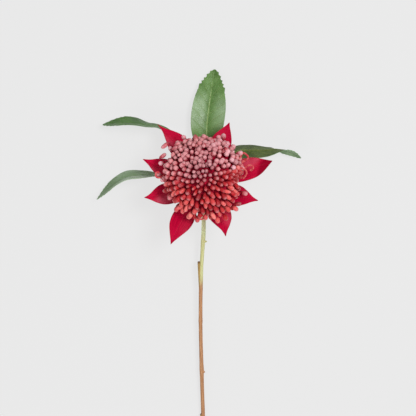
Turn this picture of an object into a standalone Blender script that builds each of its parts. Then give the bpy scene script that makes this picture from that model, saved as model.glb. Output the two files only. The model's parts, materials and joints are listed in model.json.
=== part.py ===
"""A cut waratah stem lying down, with its flower turned up.

Metres, +Z up. The origin is on the surface that the stem lies on, under the middle of the whole piece.
The stem runs along Y, with its cut end at -Y and its flower and leaves at +Y.
"""
import math
import random

import bmesh
import bpy
from mathutils import Vector

MM = 0.001
SEED = 11
GAP = 0.3 * MM
WELD = 0.01 * MM
UP = Vector((0, 0, 1))

# Flower head, in its own frame: z runs from the end of the stem up to the crown.
HEAD_BASE = Vector((3.6, 97.4, 48.7)) * MM
HEAD_TILT = math.radians(18)
BASE_RADIUS = 6.0 * MM
NECK_RADIUS = 8.5 * MM
NECK_LOW = 2.4 * MM
NECK_HIGH = 8.0 * MM
SHOULDER_RADIUS = 11 * MM
SHOULDER_HEIGHT = 10 * MM
CORE_CENTRE = 24 * MM
CORE_TOP = 18 * MM
CORE_SIDE = 27.5 * MM
CORE_EDGE = math.radians(112)
CORE_RINGS = 8
CORE_STEPS = 20
SPIRAL_STEPS = 400

# Florets: reach is measured from the middle of the core to the tip of a bud.
CROWN_REACH = 42 * MM
SIDE_REACH = 53 * MM
RIM_ANGLE = math.radians(97)
CROWN_SPACING = 6.5 * MM
RIM_SPACING = 10.4 * MM
GOLDEN_ANGLE = math.pi * (3 - math.sqrt(5))
BUD_LENGTH = 10.5 * MM
BELLY_DEPTH = 3.6 * MM
CROWN_BUD_RADIUS = 2.5 * MM
RIM_BUD_RADIUS = 3.1 * MM
BUD_TIP_SHARE = 0.45
STALK_RADIUS = 0.9 * MM
BUD_NECK_RADIUS = 1.1 * MM
ROOT_DEPTH = 3.5 * MM
JITTER = 1.2 * MM
REACH_LESS = -2.2 * MM
REACH_MORE = 1.4 * MM
EASE_ROUNDS = 8
LEAST_SPACING = 0.86
# Uneven outline of the head from above: azimuth (degrees) and share of the full reach there.
HEAD_OUTLINE = [(-180, 0.86), (-160, 0.91), (-135, 0.92), (-110, 1.0), (-60, 1.03), (-35, 0.97), (-14, 0.83),
                (0, 0.86), (16, 0.98), (45, 0.89), (62, 0.96), (78, 0.84), (106, 0.82), (125, 0.9), (150, 0.76),
                (180, 0.86)]

# On one side of the head the buds curve inwards, so that their ends face one way, and outwards on the other.
INCURVE_WAY = Vector((0, -0.2, 0.98))
INCURVE_SIDE = math.radians(107)
INCURVE_MOST = 0.85
OUTCURVE_MOST = 0.6
INCURVE_SPREAD = 1.2
LOW_RIM_START = 0.25
LOW_RIM_SPAN = 0.42
LOW_RIM_LESS = 0.6

# Florets that stand out from the rest: tip and way from the middle of the core (mm).
STRAYS = [
    ((-49, 37, 6), (-0.9, -0.1, -0.3)),
    ((-50, 22, 8), (-0.8, -0.5, -0.3)),
    ((-53, 2, 7), (-0.4, -0.2, 0.9)),
    ((-49, -7, 9), (-0.7, -0.4, 0.6)),
    ((-40, -31, 9), (-0.6, -0.8, 0.0)),
    ((-32, -44, 2), (-0.5, -0.8, -0.4)),
    ((54, -21, -1), (0.8, -0.5, 0.4)),
    ((47, -34, 2), (1.0, 0.0, 0.0)),
    ((43, -42, 1), (0.8, -0.6, -0.2)),
    ((30, -54, 0), (0.5, -0.8, -0.3)),
    ((20, -57, -1), (0.4, -0.9, -0.4)),
    ((1.5, -46, 2), (0.0, -0.9, -0.1)),
    ((-6, -56, -2), (-0.2, -0.9, -0.5)),
    ((26, 52, 11), (0.1, 1.0, 0.0)),
    ((2, 50, 12), (0.0, 0.4, 0.9)),
    ((-23, 48, 13), (-0.3, 0.1, 0.9)),
    ((51, 8, 10), (1.0, -0.1, 0.0)),
    ((49, 28, 11), (1.0, 0.3, 0.1)),
]
STRAY_ROOM = 4.2 * MM

# Eight bracts in two tiers under the florets.
BRACT_START = NECK_RADIUS + GAP
BRACT_HALF_WIDTH = 13.5 * MM
BLADE_THICKNESS = 0.9 * MM
BLADE_COLUMNS = 4
BLADE_LENGTH = 100 * MM
BRACT_ROWS = 14
BRACT_FOLD_START = 1.6
TIER_RISE = 1.9 * MM
BRACT_LEVEL = 5.2 * MM
# Fraction of the length and fraction of the half width.
BLUNT_OUTLINE = [(0, 0.3), (0.1, 0.44), (0.22, 0.66), (0.4, 0.92), (0.55, 1), (0.7, 0.94), (0.8, 0.77),
                 (0.88, 0.54), (0.94, 0.3), (1, 0)]
FULL_OUTLINE = [(0, 0.3), (0.1, 0.44), (0.22, 0.66), (0.4, 0.9), (0.55, 1), (0.7, 0.88), (0.84, 0.5),
                (0.94, 0.17), (1, 0)]
POINTED_OUTLINE = [(0, 0.3), (0.1, 0.44), (0.22, 0.66), (0.4, 0.92), (0.53, 1), (0.66, 0.9), (0.78, 0.6),
                   (0.87, 0.3), (0.94, 0.13), (1, 0)]
# Midrib: fraction of the way out, rise over the start (mm) and share of the twist.
BRACT_ARCH = [(0, 0, 0), (0.14, -1.0, 0), (0.34, -2.6, 0), (0.55, -1.6, 0.15), (0.78, 2.4, 0.55)]
# Outline, azimuth, then reach, height and sideways sweep of the tip (mm), twist at the tip (degrees), fold.
BRACTS = [
    (BLUNT_OUTLINE, 16.3, 88, 12, 0.5, 35, 0.25),
    (FULL_OUTLINE, 63.5, 82, 10, 4, -10, 0.15),
    (FULL_OUTLINE, 126, 89, 10, 1, 40, 0.35),
    (POINTED_OUTLINE, 162, 76, 12, -4, 15, 0.2),
    (POINTED_OUTLINE, 195, 72, 12, 3, -10, 0.15),
    (POINTED_OUTLINE, 237.5, 87, 9, 11, 10, 0.1),
    (POINTED_OUTLINE, 299.5, 75, 9, -9.5, -15, 0.15),
    (POINTED_OUTLINE, 342, 71, 12, -3, 10, 0.2),
]

# Leaves: points of the midrib from the stem to the tip with the tilt of the blade there (mm, degrees).
LEAF_HALF_WIDTH = 21 * MM
# Fraction of the length and fraction of the half width, before the teeth.
BROAD_OUTLINE = [(0, 0.075), (0.1, 0.085), (0.2, 0.22), (0.32, 0.56), (0.434, 0.83), (0.53, 0.96), (0.66, 1),
                 (0.76, 0.92), (0.823, 0.78), (0.884, 0.58), (0.925, 0.42), (0.96, 0.28), (0.985, 0.13), (1, 0)]
LONG_OUTLINE = [(0, 0.075), (0.15, 0.09), (0.3, 0.22), (0.42, 0.45), (0.52, 0.7), (0.62, 0.92), (0.7, 1),
                (0.79, 0.92), (0.86, 0.72), (0.92, 0.47), (0.96, 0.28), (0.985, 0.12), (1, 0)]
EARLY_OUTLINE = [(0, 0.075), (0.12, 0.1), (0.2, 0.32), (0.3, 0.72), (0.4, 0.94), (0.5, 1), (0.6, 0.96),
                 (0.7, 0.82), (0.79, 0.62), (0.86, 0.48), (0.92, 0.34), (0.97, 0.17), (1, 0)]
LEAVES = {
    "leaf_top": (BROAD_OUTLINE, 0.16, [
        (4.05, 96.55, 36.3, 0), (5.3, 109, 29.0, 0), (7.1, 127, 20, 0), (8.8, 153.5, 12.5, 3),
        (9.8, 174.3, 9.5, 5), (12.2, 191.6, 8, 6), (15.1, 210.6, 6.2, 4), (19.3, 238.9, 2.8, 0)]),
    "leaf_upper_left": (LONG_OUTLINE, 0.10, [
        (-0.05, 89.2, 33.0, 50), (-4.0, 92.3, 31.6, 56), (-8, 106, 27.9, 68), (-19, 136, 21, 80),
        (-34.5, 153.6, 18.5, 82), (-50.4, 164.4, 18.3, 82), (-62.6, 168.6, 20.0, 79),
        (-77.2, 171.8, 21.8, 73), (-91.8, 172.9, 20.9, 70), (-104.2, 172.4, 17.2, 69),
        (-118.2, 170.6, 12, 68)]),
    "leaf_left": (LONG_OUTLINE, 0.10, [
        (1.4, 81.0, 25.4, 50), (-3.2, 83.6, 25.0, 56), (-14.6, 95, 24, 68), (-33.1, 106.6, 22.2, 76),
        (-51.5, 109, 21.5, 78), (-72.2, 109.2, 21.2, 76), (-87.6, 106.4, 21, 75.5), (-99.0, 99.4, 20.5, 77),
        (-110.8, 90.0, 19, 79), (-125.1, 79.0, 17, 79)]),
    "leaf_right": (EARLY_OUTLINE, 0.10, [
        (8.75, 85.7, 29.1, 130), (12.6, 88.9, 28.4, 124), (18, 104, 26.6, 116), (29, 124.4, 24.4, 112),
        (45.0, 137.2, 23.0, 114), (62.1, 139.4, 22.6, 112), (80.4, 139.2, 22.0, 108),
        (90.0, 139.9, 21.0, 106), (98.0, 139.6, 20.0, 94), (105.5, 138.5, 18.4, 78),
        (114.0, 135.6, 16.4, 69), (124.7, 129.5, 14, 64)]),
}
LEAF_ROWS = 12
TOOTH_START = 0.8
LEAF_TEETH = [0.86, 0.888, 0.917, 0.952, 0.983]
TOOTH_STEP = 0.006
TOOTH_DEPTH = 1.8 * MM

# Stem: points of its middle with the radius there (mm), from the cut end to where it bends up.
STEM_ROUTE = [
    (5.4, -238.4, 2.57, 2.7), (5.2, -212, 4.4, 2.5), (4.9, -200, 5.1, 2.9), (4.7, -187, 5.8, 2.4),
    (3.4, -145, 8.3, 2.3), (3.2, -136, 8.8, 2.5), (3.1, -130, 9.1, 2.7), (2.8, -123, 9.5, 2.4),
    (2.2, -100, 10.8, 2.3), (1.7, -74, 12.4, 2.3), (1.7, -70, 12.6, 2.55), (1.7, -66, 12.8, 2.3),
    (1.8, -40, 14.3, 2.3), (2.2, -22, 15.3, 2.4), (2.8, -2, 16.5, 2.3), (3.9, 14, 17.5, 2.35),
    (4.7, 28, 18.4, 2.65), (5.4, 40, 19.2, 2.7),
]
STEM_BEND_RADIUS = 38 * MM
STEM_BEND_START = math.radians(4)
STEM_BEND_STEPS = 9
STEM_TOP_LENGTH = 3 * MM
STEM_TOP_RADIUS = 5.4 * MM
STEM_NECK_RADIUS = 4.2 * MM
STEM_RADIUS = 2.6 * MM
# Stubs of side shoots: root, tip and radius at each end (mm).
STUBS = [
    ((1.2, -32, 14.6), (-0.5, 3.2, 18.0), 1.5, 1.6),
    ((3.2, -204, 4.9), (2.1, -184, 8.0), 1.6, 1.1),
    ((4.4, 27.2, 18.4), (9.4, 27.6, 19.8), 1.6, 1.1),
    ((3.5, -131, 9.1), (7.0, -133.4, 10.0), 1.5, 1.0),
]


def new_collection(name):
    """Make a collection and show it in the scene."""
    collection = bpy.data.collections.new(name)
    bpy.context.scene.collection.children.link(collection)
    return collection


def new_material(name, colour, roughness):
    """Make a plain plant material."""
    material = bpy.data.materials.new(name)
    material.use_nodes = True
    shader = material.node_tree.nodes["Principled BSDF"]
    shader.inputs["Base Color"].default_value = (*colour, 1)
    shader.inputs["Roughness"].default_value = roughness
    shader.inputs["Metallic"].default_value = 0
    return material


def smooth_value(points, place):
    """Read a smooth curve through (place, value) points."""
    for index in range(len(points) - 1):
        start, end = points[index], points[index + 1]
        if place <= end[0]:
            break
    before = points[max(index - 1, 0)]
    after = points[min(index + 2, len(points) - 1)]
    span = end[0] - start[0]
    slope_in = (end[1] - before[1]) / (end[0] - before[0]) * span
    slope_out = (after[1] - start[1]) / (after[0] - start[0]) * span
    t = (place - start[0]) / span
    return ((2 * t**3 - 3 * t**2 + 1) * start[1] + (t**3 - 2 * t**2 + t) * slope_in
            + (3 * t**2 - 2 * t**3) * end[1] + (t**3 - t**2) * slope_out)


def add_object(name, mesh_or_curve, collection, material=None):
    """Put a mesh or curve in the scene as an object."""
    made = bpy.data.objects.new(name, mesh_or_curve)
    collection.objects.link(made)
    if material:
        mesh_or_curve.materials.append(material)
    return made


def curve_guide(name, points, collection):
    """Make a guide: a smooth curve through points of (place, tilt) that a blade is bent along."""
    curve = bpy.data.curves.new(name, "CURVE")
    curve.dimensions = "3D"
    curve.twist_mode = "Z_UP"
    curve.resolution_u = 16
    curve.use_stretch = True
    curve.use_deform_bounds = True
    spline = curve.splines.new("BEZIER")
    spline.bezier_points.add(len(points) - 1)
    for point, (place, tilt) in zip(spline.bezier_points, points):
        point.co = place
        point.tilt = tilt
        point.handle_left_type = "AUTO"
        point.handle_right_type = "AUTO"
    guide = add_object(name, curve, collection)
    guide.hide_render = True
    guide.display_type = "WIRE"
    return guide


def curve_tube(name, route, sides_step, collection):
    """Make a round rod through (place, radius) points and turn it into one closed mesh."""
    curve = bpy.data.curves.new(name, "CURVE")
    curve.dimensions = "3D"
    curve.bevel_depth = MM
    curve.bevel_resolution = sides_step
    curve.use_fill_caps = True
    spline = curve.splines.new("POLY")
    spline.points.add(len(route) - 1)
    for point, (place, radius) in zip(spline.points, route):
        point.co = (*place, 1)
        point.radius = radius / MM
    rod = add_object(name, curve, collection)
    return curve_to_mesh(rod, collection)


def curve_to_mesh(rod, collection):
    """Replace a curve object by a mesh object with welded caps."""
    name = rod.name
    bpy.context.view_layer.update()
    evaluated = rod.evaluated_get(bpy.context.evaluated_depsgraph_get())
    mesh = bpy.data.meshes.new_from_object(evaluated)
    place = rod.matrix_world.copy()
    bpy.data.objects.remove(rod)
    body = bmesh.new()
    body.from_mesh(mesh)
    bmesh.ops.remove_doubles(body, verts=body.verts, dist=WELD)
    bmesh.ops.recalc_face_normals(body, faces=body.faces)
    body.to_mesh(mesh)
    body.free()
    made = add_object(name, mesh, collection)
    made.matrix_world = place
    return made


def fuse(base, collection, solver):
    """Join every object of a collection to the base with one Boolean union, and remove them."""
    union = base.modifiers.new("union", "BOOLEAN")
    union.operation = "UNION"
    union.operand_type = "COLLECTION"
    union.collection = collection
    union.solver = solver
    bpy.context.view_layer.update()
    evaluated = base.evaluated_get(bpy.context.evaluated_depsgraph_get())
    fused = bpy.data.meshes.new_from_object(evaluated)
    base.modifiers.clear()
    base.data = fused
    for part in list(collection.objects):
        bpy.data.objects.remove(part)
    bpy.data.collections.remove(collection)


def shade_round(made, angle):
    """Shade a round piece smooth, with its sharp edges kept."""
    made.data.shade_smooth()
    made.data.set_sharp_from_angle(angle=math.radians(angle))


def blade(name, rows, half_width_at, fold_at, guide, collection, material):
    """Make a leaf or bract: a grid cut to its outline, bent along its guide and thickened.

    rows are fractions of the length, and fold_at lifts the edges over the midrib.
    """
    body = bmesh.new()
    bmesh.ops.create_grid(body, x_segments=len(rows) - 1, y_segments=BLADE_COLUMNS, size=0.5)
    for vertex in body.verts:
        place = rows[round((vertex.co.x + 0.5) * (len(rows) - 1))]
        across = 2 * vertex.co.y * half_width_at(place)
        vertex.co = (place * BLADE_LENGTH, across, abs(across) * fold_at(place))
    bmesh.ops.remove_doubles(body, verts=body.verts, dist=WELD)
    mesh = bpy.data.meshes.new(name)
    body.to_mesh(mesh)
    body.free()
    made = add_object(name, mesh, collection, material)
    bend = made.modifiers.new("bend", "CURVE")
    bend.object = guide
    bend.deform_axis = "POS_X"
    made.modifiers.new("triangles", "TRIANGULATE")
    wall = made.modifiers.new("wall", "SOLIDIFY")
    wall.thickness = BLADE_THICKNESS
    wall.offset = 0
    return made


def leaf_rows():
    """Fractions of a leaf's length where its edge turns, with two rows close together at each tooth."""
    plain = [TOOTH_START * index / LEAF_ROWS for index in range(LEAF_ROWS + 1)]
    teeth = [place for tooth in LEAF_TEETH for place in (tooth, tooth + TOOTH_STEP)]
    return plain + teeth + [1.0]


def make_leaf(name, outline, fold, route, guides, parts, material):
    """Make one leaf with a toothed edge near its tip and a shallow fold at its midrib."""
    def half_width_at(place):
        width = LEAF_HALF_WIDTH * smooth_value(outline, place)
        if any(tooth < place <= tooth + TOOTH_STEP for tooth in LEAF_TEETH):
            width -= TOOTH_DEPTH
        return max(width, 0.0)

    def fold_at(place):
        return fold

    points = [(Vector((x, y, z)) * MM, math.radians(tilt)) for x, y, z, tilt in route]
    guide = curve_guide(name + "_guide", points, guides)
    return blade(name, leaf_rows(), half_width_at, fold_at, guide, parts, material)


def make_bract(number, shape, head_frame, guides, parts, material):
    """Make one bract that spreads from under the florets, with a pointed tip."""
    outline, azimuth, reach, tip_height, sweep, twist, fold = shape
    tier = TIER_RISE if number % 2 else -TIER_RISE

    def half_width_at(place):
        return BRACT_HALF_WIDTH * max(smooth_value(outline, place), 0.0)

    def fold_at(place):
        return fold * min(1.0, place * BRACT_FOLD_START)

    route = []
    for far, rise, turn in BRACT_ARCH:
        place = Vector((BRACT_START + far * (reach * MM - BRACT_START), sweep * MM * far**2,
                        BRACT_LEVEL + tier + rise * MM))
        route.append((place, math.radians(twist * turn)))
    route.append((Vector((reach, sweep, tip_height)) * MM, math.radians(twist)))
    name = f"bract_{number + 1}"
    guide = curve_guide(name + "_guide", route, guides)
    rows = [index / BRACT_ROWS for index in range(BRACT_ROWS + 1)]
    made = blade(name, rows, half_width_at, fold_at, guide, parts, material)
    for piece in (guide, made):
        piece.parent = head_frame
        piece.rotation_euler = (0, 0, math.radians(azimuth))
    return made


def core_reach(angle):
    """Distance from the middle of the core to its skin at an angle from the crown."""
    return CORE_TOP + (CORE_SIDE - CORE_TOP) * math.sin(angle)**2


def tip_reach(angle):
    """Distance from the middle of the core to the bud tips at an angle from the crown."""
    return CROWN_REACH + (SIDE_REACH - CROWN_REACH) * math.sin(angle)**2


def direction(angle, azimuth):
    """Unit vector at an angle from the crown and an azimuth round it."""
    return Vector((math.sin(angle) * math.cos(azimuth), math.sin(angle) * math.sin(azimuth), math.cos(angle)))


def spacing_at(angle):
    """Distance between neighbouring buds at an angle from the crown."""
    return CROWN_SPACING + (RIM_SPACING - CROWN_SPACING) * angle / RIM_ANGLE


def floret_places():
    """Angles of the florets: a golden-angle spiral, closest together at the crown."""
    places = []
    count = 0.0
    for index in range(SPIRAL_STEPS):
        angle = RIM_ANGLE * (index + 0.5) / SPIRAL_STEPS
        band = 2 * math.pi * math.sin(angle) * tip_reach(angle)**2 * RIM_ANGLE / SPIRAL_STEPS
        count += band / (math.sqrt(0.75) * spacing_at(angle)**2)
        while count >= len(places) + 0.5:
            places.append((angle, len(places) * GOLDEN_ANGLE))
    return places


def floret_tips():
    """Tip points from the middle of the core, loosened by a seeded draw and then eased apart."""
    draw = random.Random(SEED)
    tips = []
    for angle, azimuth in floret_places():
        reach = tip_reach(angle) + draw.uniform(REACH_LESS, REACH_MORE)
        shift = Vector((draw.uniform(-1, 1), draw.uniform(-1, 1), draw.uniform(-1, 1))) * JITTER
        tips.append(direction(angle, azimuth) * reach + shift)
    for ease_round in range(EASE_ROUNDS):
        for first in range(len(tips)):
            for second in range(first + 1, len(tips)):
                apart = tips[first] - tips[second]
                least = LEAST_SPACING * spacing_at(tips[first].angle(UP))
                if apart.length < least:
                    push = apart.normalized() * (least - apart.length) / 2
                    tips[first] += push
                    tips[second] -= push
    return tips


def bud_way(tip, share):
    """Direction that a bud points in: outwards, turned towards the incurve by a share."""
    outward = tip.normalized()
    turn = outward.rotation_difference(INCURVE_WAY)
    turn.angle *= share
    return turn @ outward


def incurve_share(tip):
    """How far the bud at this tip curves inwards: most on one side, less at the lowest rim."""
    outward = tip.normalized()
    azimuth = math.atan2(outward.y, outward.x)
    across = math.hypot(outward.x, outward.y) * math.cos(azimuth - INCURVE_SIDE)
    side = min(max(0.5 + INCURVE_SPREAD * across, 0), 1)
    share = side * (INCURVE_MOST + OUTCURVE_MOST) - OUTCURVE_MOST
    low = min(max((LOW_RIM_START - outward.z) / LOW_RIM_SPAN, 0), 1)
    return share * (1 - LOW_RIM_LESS * low)


def drawn_in(tip):
    """A tip moved in or out sideways to the uneven outline of the head, most at the rim."""
    share = smooth_value(HEAD_OUTLINE, math.degrees(math.atan2(tip.y, tip.x)))
    scale = 1 + (share - 1) * (tip.angle(UP) / RIM_ANGLE)**2
    return Vector((tip.x * scale, tip.y * scale, tip.z))


def floret_route(tip, way, bud_radius):
    """Root, neck, belly and tip of one floret with the radius there."""
    outward = tip.normalized()
    root = outward * (core_reach(outward.angle(UP)) - ROOT_DEPTH)
    return [(root, STALK_RADIUS), (tip - way * BUD_LENGTH, BUD_NECK_RADIUS),
            (tip - way * BELLY_DEPTH, bud_radius), (tip, bud_radius * BUD_TIP_SHARE)]


def floret_routes():
    """Route of every floret: those that cover the dome, then the strays, with room kept round each stray."""
    strays = [(Vector(tip) * MM, Vector(way).normalized()) for tip, way in STRAYS]
    routes = []
    for full_tip in floret_tips():
        radius = CROWN_BUD_RADIUS + (RIM_BUD_RADIUS - CROWN_BUD_RADIUS) * full_tip.angle(UP) / RIM_ANGLE
        tip = drawn_in(full_tip)
        if all((tip - stray_tip).length > STRAY_ROOM for stray_tip, way in strays):
            routes.append(floret_route(tip, bud_way(full_tip, incurve_share(full_tip)), radius))
    for tip, way in strays:
        routes.append(floret_route(tip, way, RIM_BUD_RADIUS))
    return routes


def make_head(head_frame, parts, material):
    """Make the flower head: a core with a neck, and every floret fused to it."""
    body = bmesh.new()
    angles = [CORE_EDGE * index / CORE_RINGS for index in range(CORE_RINGS + 1)]
    profile = [(core_reach(a) * math.sin(a), CORE_CENTRE + core_reach(a) * math.cos(a)) for a in angles]
    profile += [(SHOULDER_RADIUS, SHOULDER_HEIGHT), (NECK_RADIUS, NECK_HIGH), (NECK_RADIUS, NECK_LOW),
                (BASE_RADIUS, 0), (0, 0)]
    corners = [body.verts.new((x, 0, z)) for x, z in profile]
    for start, end in zip(corners, corners[1:]):
        body.edges.new((start, end))
    mesh = bpy.data.meshes.new("flower_head")
    body.to_mesh(mesh)
    body.free()
    head = add_object("flower_head", mesh, parts, material)
    turn = head.modifiers.new("turn", "SCREW")
    turn.steps = CORE_STEPS
    turn.render_steps = CORE_STEPS
    turn.use_merge_vertices = True
    turn.merge_threshold = WELD
    turn.use_normal_calculate = True

    florets = new_collection("florets")
    for number, route in enumerate(floret_routes()):
        points = [(place + UP * CORE_CENTRE, radius) for place, radius in route]
        curve_tube(f"floret_{number}", points, 0, florets)
    fuse(head, florets, "MANIFOLD")
    head.parent = head_frame
    return head


def stem_points():
    """Middle and radius of the stem from the cut end, along its straight run and round the bend."""
    points = [(Vector((x, y, z)) * MM, radius * MM) for x, y, z, radius in STEM_ROUTE]
    top_way = Vector((0, math.sin(HEAD_TILT), math.cos(HEAD_TILT)))
    top_turn = math.pi / 2 - HEAD_TILT
    end = HEAD_BASE - top_way * GAP
    top = end - top_way * STEM_TOP_LENGTH
    centre = top + Vector((0, -top_way.z, top_way.y)) * STEM_BEND_RADIUS
    last = points[-1][0]
    for index in range(STEM_BEND_STEPS + 1):
        share = index / STEM_BEND_STEPS
        turn = STEM_BEND_START + (top_turn - STEM_BEND_START) * share
        place = centre + Vector((0, math.sin(turn), -math.cos(turn))) * STEM_BEND_RADIUS
        place.x = last.x + (top.x - last.x) * share
        points.append((place, STEM_RADIUS + (STEM_NECK_RADIUS - STEM_RADIUS) * share**2))
    points.append((end, STEM_TOP_RADIUS))
    return points


def make_stem(parts, material):
    """Make the stem with its nodes, and fuse the stubs of its side shoots to it."""
    stem = curve_tube("stem", stem_points(), 3, parts)
    stubs = new_collection("stubs")
    for number, (root, tip, root_radius, tip_radius) in enumerate(STUBS):
        route = [(Vector(root) * MM, root_radius * MM), (Vector(tip) * MM, tip_radius * MM)]
        curve_tube(f"stub_{number}", route, 2, stubs)
    fuse(stem, stubs, "EXACT")
    stem.data.materials.clear()
    stem.data.materials.append(material)
    return stem


def main():
    """Build the whole stem."""
    for old in list(bpy.data.objects):
        bpy.data.objects.remove(old)
    parts = new_collection("waratah_stem")
    guides = new_collection("guides")
    floret_material = new_material("floret_coral", (0.48, 0.08, 0.07), 0.55)
    bract_material = new_material("bract_crimson", (0.50, 0.006, 0.035), 0.4)
    leaf_material = new_material("leaf_green", (0.10, 0.20, 0.08), 0.45)
    stem_material = new_material("stem_brown", (0.45, 0.28, 0.14), 0.6)

    head_frame = add_object("head_frame", None, guides)
    head_frame.location = HEAD_BASE
    head_frame.rotation_euler = (-HEAD_TILT, 0, 0)

    stem = make_stem(parts, stem_material)
    shade_round(stem, 40)
    head = make_head(head_frame, parts, floret_material)
    shade_round(head, 60)
    for number, shape in enumerate(BRACTS):
        make_bract(number, shape, head_frame, guides, parts, bract_material)
    for name, (outline, fold, route) in LEAVES.items():
        make_leaf(name, outline, fold, route, guides, parts, leaf_material)
    bpy.context.view_layer.update()


main()
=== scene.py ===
"""Looks of a cut waratah stem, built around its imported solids.

Metres, +Z up, in the frame of the solids. The stem lies along Y with its flower turned up at +Y.
"""
import json
import math
import random

import bmesh
import bpy
from mathutils import Matrix, Vector, noise

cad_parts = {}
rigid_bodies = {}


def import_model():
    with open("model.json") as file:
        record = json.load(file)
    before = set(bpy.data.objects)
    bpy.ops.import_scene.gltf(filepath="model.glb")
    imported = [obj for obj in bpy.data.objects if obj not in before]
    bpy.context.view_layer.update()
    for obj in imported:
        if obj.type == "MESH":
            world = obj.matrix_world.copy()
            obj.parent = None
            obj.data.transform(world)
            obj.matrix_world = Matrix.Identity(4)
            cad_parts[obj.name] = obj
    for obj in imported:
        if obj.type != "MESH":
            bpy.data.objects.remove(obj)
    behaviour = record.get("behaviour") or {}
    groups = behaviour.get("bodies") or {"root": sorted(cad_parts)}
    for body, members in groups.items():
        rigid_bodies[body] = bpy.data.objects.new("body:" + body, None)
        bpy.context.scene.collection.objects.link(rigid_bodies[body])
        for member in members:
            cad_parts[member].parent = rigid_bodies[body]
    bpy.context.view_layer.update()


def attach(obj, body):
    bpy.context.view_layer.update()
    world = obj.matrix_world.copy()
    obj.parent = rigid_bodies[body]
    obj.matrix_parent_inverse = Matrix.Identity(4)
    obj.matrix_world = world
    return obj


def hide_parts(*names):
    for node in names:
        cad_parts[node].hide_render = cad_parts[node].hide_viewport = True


MM = 0.001
SEED = 11
UP = Vector((0, 0, 1))

# Camera: straight over the piece, with the width of the picture at the height of the flower.
VIEW_CENTRE = (10.8 * MM, 68.4 * MM)
VIEW_LEVEL = 60 * MM
VIEW_DISTANCE = 2200 * MM
VIEW_WIDTH = 499.2 * MM

# Flower head, in its own frame: z runs from the end of the stem up to the crown.
HEAD_BASE = Vector((3.6, 97.4, 48.7)) * MM
HEAD_TILT = math.radians(18)
NECK_RADIUS = 8.5 * MM
CORE_CENTRE = 24 * MM
CORE_TOP = 18 * MM
CORE_SIDE = 27.5 * MM
CORE_EDGE = math.radians(112)
CORE_RINGS = 14
SPIRAL_STEPS = 400

# Florets: reach is measured from the middle of the core to the tip of a bud.
CROWN_REACH = 42 * MM
SIDE_REACH = 53 * MM
RIM_ANGLE = math.radians(97)
CROWN_SPACING = 6.1 * MM
RIM_SPACING = 10.4 * MM
GOLDEN_ANGLE = math.pi * (3 - math.sqrt(5))
BUD_NECK = 10.5 * MM
ROOT_DEPTH = 3.5 * MM
JITTER = 1.2 * MM
REACH_LESS = -2.2 * MM
REACH_MORE = 1.4 * MM
EASE_ROUNDS = 8
LEAST_SPACING = 0.86
RADIUS_SHARES = (0.78, 1.12)
CROWN_BUD_RADIUS = 2.75 * MM
RIM_BUD_RADIUS = 3.1 * MM
CORAL_BUD_SHARE = 0.96
PINK_BUD_SHARE = 1.2
LENGTH_SHARES = (0.8, 1.15)
CORAL_LENGTH_SHARE = 1.16
# Smaller buds between the others: deep and few on the outcurved side, shallow and many on the other.
FILL_STEPS = 2400
FILL_DEPTH = (4.5 * MM, 1.8 * MM)
FILL_SPACING = (0.86, 0.57)
FILL_RADIUS_SHARE = (0.85, 0.95)
FILL_ROUNDS = 6
CLOSEST = 4.9 * MM
TURN_MOST = (math.radians(24), math.radians(75))
TURN_FULL = math.radians(60)
INCURVE_WAY = Vector((0, -0.2, 0.98))
INCURVE_SIDE = math.radians(97)
INCURVE_MOST = 0.85
INCURVE_SPREAD = 1.1
OUTCURVE_MOST = 0.6
LOW_RIM_START = 0.25
LOW_RIM_SPAN = 0.42
LOW_RIM_LESS = 0.6
# Florets that stand out from the rest: tip from the middle of the core (mm), way, radius (mm), paleness
# (partly a painted highlight) and share of the usual length.
STRAYS = [
    ((-49, 35, 6), (-0.83, -0.43, -0.3), 2.8, 0.3, 1.35),
    ((-43, 28, 7), (0.72, 0.5, 0.48), 2.7, 0.2, 1.1),
    ((-39, 33, 15), (-0.3, 0.1, 0.9), 2.7, 0.5, 1),
    ((-53, 2, 7), (-0.4, -0.2, 0.9), 2.6, 0.6, 1),
    ((-51, 15, 9), (-0.5, -0.2, 0.8), 2.9, 1.0, 1),
    ((-49, -7, 9), (-0.7, -0.4, 0.6), 2.8, 0.7, 1),
    ((-40, -31, 9), (-0.6, -0.8, 0.0), 2.9, 0.3, 1),
    ((-32, -44, 2), (-0.5, -0.8, -0.4), 2.9, 0.1, 1),
    ((54, -21, -1), (0.8, -0.5, 0.4), 3.0, 0.3, 1),
    ((47, -34, 2), (1.0, 0.0, 0.0), 2.8, 0.1, 1),
    ((43, -42, 1), (0.8, -0.6, -0.2), 2.9, 0.1, 1),
    ((30, -54, 0), (0.5, -0.8, -0.3), 3.0, 0.0, 1),
    ((20, -57, -1), (0.4, -0.9, -0.4), 3.0, 0.0, 1),
    ((1.5, -46, 2), (0.0, -0.9, -0.1), 2.9, 0.1, 1),
    ((-5, -45, 2), (-0.1, -0.9, -0.1), 2.9, 0.1, 1),
    ((-6, -56, -2), (-0.2, -0.9, -0.5), 2.9, 0.1, 1),
    ((26, 52, 11), (0.1, 1.0, 0.0), 3.0, 0.6, 1),
    ((20, 48, 13), (0.0, 0.2, 1.0), 3.2, 0.4, 1),
    ((2, 50, 12), (0.0, 0.4, 0.9), 3.2, 0.3, 1),
    ((-23, 48, 13), (-0.3, 0.1, 0.9), 2.9, 0.6, 1),
    ((-30, 40, 14), (-0.3, 0.0, 0.9), 3.1, 0.2, 1),
    ((51, 8, 10), (1.0, -0.1, 0.0), 2.5, 0.8, 1),
    ((49, 28, 11), (1.0, 0.3, 0.1), 3.1, 0.8, 1),
    ((39, 37, 11), (0.5, 0.3, 0.8), 3.3, 0.6, 1),
    ((33, 20, 30), (0.7, -0.7, -0.1), 3.2, 0.8, 1),
    ((37, 12, 31), (0.5, -0.1, 0.9), 3.2, 0.9, 1),
    ((39, 2, 31), (0.5, -0.2, 0.8), 3.1, 0.9, 1),
]
STRAY_ROOM = 4.2 * MM
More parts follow.
